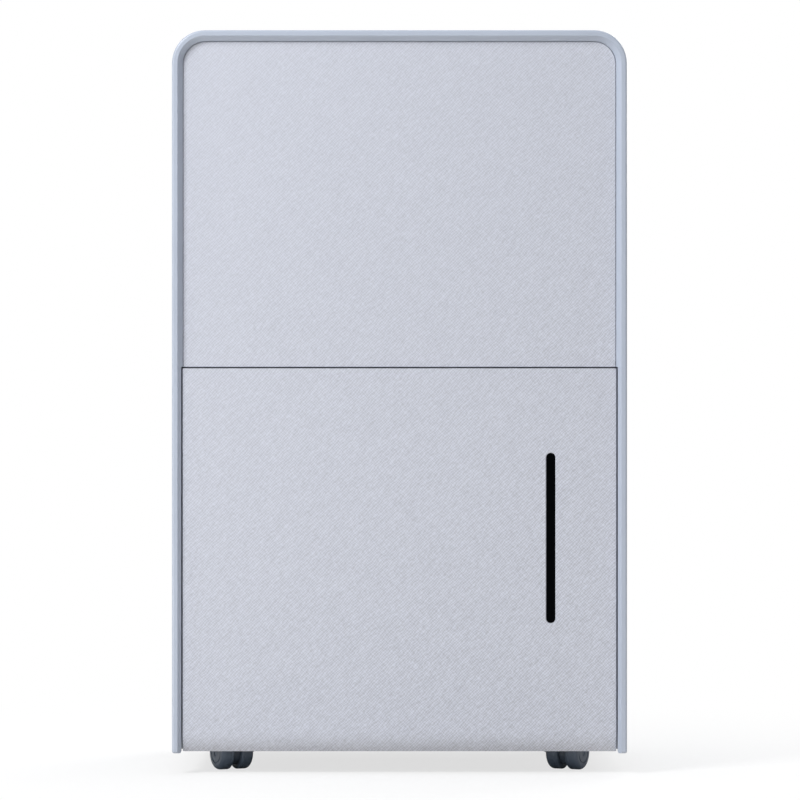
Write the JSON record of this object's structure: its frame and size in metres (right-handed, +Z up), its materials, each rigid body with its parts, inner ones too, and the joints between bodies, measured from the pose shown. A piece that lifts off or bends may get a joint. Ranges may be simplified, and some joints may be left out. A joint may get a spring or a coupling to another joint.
{
  "type": "dehumidifier",
  "caption": "Upright portable dehumidifier: textured front panel over a pull-out water bucket, smooth arched frame, top controls and grille, swivel casters.",
  "frame": {"origin": "middle of the box round the whole part, on the floor under the casters", "axes": "+Z up, the front with the bucket faces -Y, +X to the right as seen from the front"},
  "size_m": [0.387, 0.28, 0.633],
  "materials": {
    "frame_satin": "satin blue-grey",
    "panel_texture": "fine crosswise linen texture, pale silver",
    "case_plastic": "fine grain, pale blue-grey",
    "zinc": "zinc plated",
    "inner_plastic": "plain moulded",
    "gloss_black": "gloss",
    "smoked_window": "smoked clear plastic",
    "circuit_board": "solder mask",
    "clear_tub": "frosted",
    "dark_plastic": "fine grain",
    "foam": "closed-cell foam",
    "mesh": "woven nylon",
    "aluminium": "mill finish",
    "copper": "drawn copper",
    "steel": "bright",
    "black_paint": "semi-gloss",
    "rubber": "matt",
    "button_grey": "satin",
    "fork_plastic": "satin blue-grey",
    "wheel_plastic": "satin blue-grey"
  },
  "bodies": {
    "case": {"front_frame": "frame_satin", "upper_panel": "panel_texture", "cabinet_wrap": "case_plastic", "back_panel": "case_plastic", "case_screws": "zinc", "top_cover": "case_plastic", "exhaust_grille": "case_plastic", "intake_grille": "case_plastic", "handle_cups": "case_plastic", "base_tray": "inner_plastic", "bay_partition": "inner_plastic", "mid_deck": "inner_plastic", "control_fascia": "gloss_black", "display_window": "smoked_window", "control_board": "circuit_board", "reed_sensor": "dark_plastic", "evaporator_fins": "aluminium", "evaporator_tube": "copper", "condenser_fins": "aluminium", "condenser_tube": "copper", "drain_pan": "inner_plastic", "fan_scroll": "inner_plastic", "fan_motor": "zinc", "compressor": "black_paint", "compressor_grommets": "rubber", "compressor_bolts": "zinc", "accumulator": "black_paint", "discharge_pipe": "copper", "suction_pipe": "copper", "capillary_tube": "copper", "power_box": "dark_plastic", "run_capacitor": "aluminium", "drain_spout": "case_plastic", "cord_gland": "dark_plastic"},
    "bucket": {"bucket_front": "panel_texture", "level_window": "smoked_window", "bucket_tub": "clear_tub", "bucket_lid": "clear_tub"},
    "carry_handle": {"bucket_handle": "dark_plastic"},
    "float": {"float_arm": "inner_plastic", "float_block": "foam"},
    "filter": {"filter_frame": "dark_plastic", "filter_mesh": "mesh"},
    "fan": {"fan_impeller": "dark_plastic", "motor_shaft": "steel"},
    "plug": {"drain_plug": "rubber"},
    "timer_key": {"timer_button": "button_grey"},
    "fan_key": {"fan_button": "button_grey"},
    "mode_key": {"mode_button": "button_grey"},
    "humidity_down_key": {"humidity_down_button": "button_grey"},
    "humidity_up_key": {"humidity_up_button": "button_grey"},
    "power_key": {"power_button": "button_grey"},
    "front_left_swivel": {"caster_front_left_fork": "fork_plastic"},
    "front_left_roller": {"caster_front_left_wheels": "wheel_plastic"},
    "front_right_swivel": {"caster_front_right_fork": "fork_plastic"},
    "front_right_roller": {"caster_front_right_wheels": "wheel_plastic"},
    "rear_left_swivel": {"caster_rear_left_fork": "fork_plastic"},
    "rear_left_roller": {"caster_rear_left_wheels": "wheel_plastic"},
    "rear_right_swivel": {"caster_rear_right_fork": "fork_plastic"},
    "rear_right_roller": {"caster_rear_right_wheels": "wheel_plastic"}
  },
  "joints": [
    {"name": "bucket_slide", "type": "slide", "parent": "case", "child": "bucket", "axis": [0, -1, 0], "range_m": [0, 0.16]},
    {"name": "carry_handle_hinge", "type": "hinge", "parent": "bucket", "child": "carry_handle", "pos_m": [0, -0.078, 0.262], "axis": [1, 0, 0], "range_deg": [0, 53.9]},
    {"name": "float_hinge", "type": "hinge", "parent": "bucket", "child": "float", "pos_m": [-0.105, -0.028, 0.256], "axis": [-1, 0, 0], "range_deg": [0, 30]},
    {"name": "filter_slide", "type": "slide", "parent": "case", "child": "filter", "axis": [0, 0, 1], "range_m": [0, 0.285]},
    {"name": "fan_spin", "type": "hinge", "parent": "case", "child": "fan", "pos_m": [-0.0045, -0.068, 0.4745], "axis": [0, 1, 0], "continuous": true},
    {"name": "drain_plug_slide", "type": "slide", "parent": "case", "child": "plug", "axis": [0, 1, 0], "range_m": [0, 0.025]},
    {"name": "timer_press", "type": "slide", "parent": "case", "child": "timer_key", "axis": [0, 0, -1], "range_m": [0, 0.0012], "stiffness_N_per_m": 400, "springref_m": -0.001},
    {"name": "fan_press", "type": "slide", "parent": "case", "child": "fan_key", "axis": [0, 0, -1], "range_m": [0, 0.0012], "stiffness_N_per_m": 400, "springref_m": -0.001},
    {"name": "mode_press", "type": "slide", "parent": "case", "child": "mode_key", "axis": [0, 0, -1], "range_m": [0, 0.0012], "stiffness_N_per_m": 400, "springref_m": -0.001},
    {"name": "humidity_down_press", "type": "slide", "parent": "case", "child": "humidity_down_key", "axis": [0, 0, -1], "range_m": [0, 0.0012], "stiffness_N_per_m": 400, "springref_m": -0.001},
    {"name": "humidity_up_press", "type": "slide", "parent": "case", "child": "humidity_up_key", "axis": [0, 0, -1], "range_m": [0, 0.0012], "stiffness_N_per_m": 400, "springref_m": -0.001},
    {"name": "power_press", "type": "slide", "parent": "case", "child": "power_key", "axis": [0, 0, -1], "range_m": [0, 0.0012], "stiffness_N_per_m": 400, "springref_m": -0.001},
    {"name": "front_left_swivel_turn", "type": "hinge", "parent": "case", "child": "front_left_swivel", "pos_m": [-0.1415, -0.092, 0.0328], "axis": [0, 0, 1], "continuous": true},
    {"name": "front_left_wheel_roll", "type": "hinge", "parent": "front_left_swivel", "child": "front_left_roller", "pos_m": [-0.14513, -0.08487, 0.015], "axis": [0.891, 0.454, 0], "continuous": true},
    {"name": "front_right_swivel_turn", "type": "hinge", "parent": "case", "child": "front_right_swivel", "pos_m": [0.1415, -0.092, 0.0328], "axis": [0, 0, 1], "continuous": true},
    {"name": "front_right_wheel_roll", "type": "hinge", "parent": "front_right_swivel", "child": "front_right_roller", "pos_m": [0.14513, -0.08487, 0.015], "axis": [0.891, -0.454, 0], "continuous": true},
    {"name": "rear_left_swivel_turn", "type": "hinge", "parent": "case", "child": "rear_left_swivel", "pos_m": [-0.1415, 0.092, 0.0328], "axis": [0, 0, 1], "continuous": true},
    {"name": "rear_left_wheel_roll", "type": "hinge", "parent": "rear_left_swivel", "child": "rear_left_roller", "pos_m": [-0.14488, 0.08475, 0.015], "axis": [-0.9063, 0.4226, 0], "continuous": true},
    {"name": "rear_right_swivel_turn", "type": "hinge", "parent": "case", "child": "rear_right_swivel", "pos_m": [0.1415, 0.092, 0.0328], "axis": [0, 0, 1], "continuous": true},
    {"name": "rear_right_wheel_roll", "type": "hinge", "parent": "rear_right_swivel", "child": "rear_right_roller", "pos_m": [0.14424, 0.08448, 0.015], "axis": [-0.9397, -0.342, 0], "continuous": true}
  ]
}
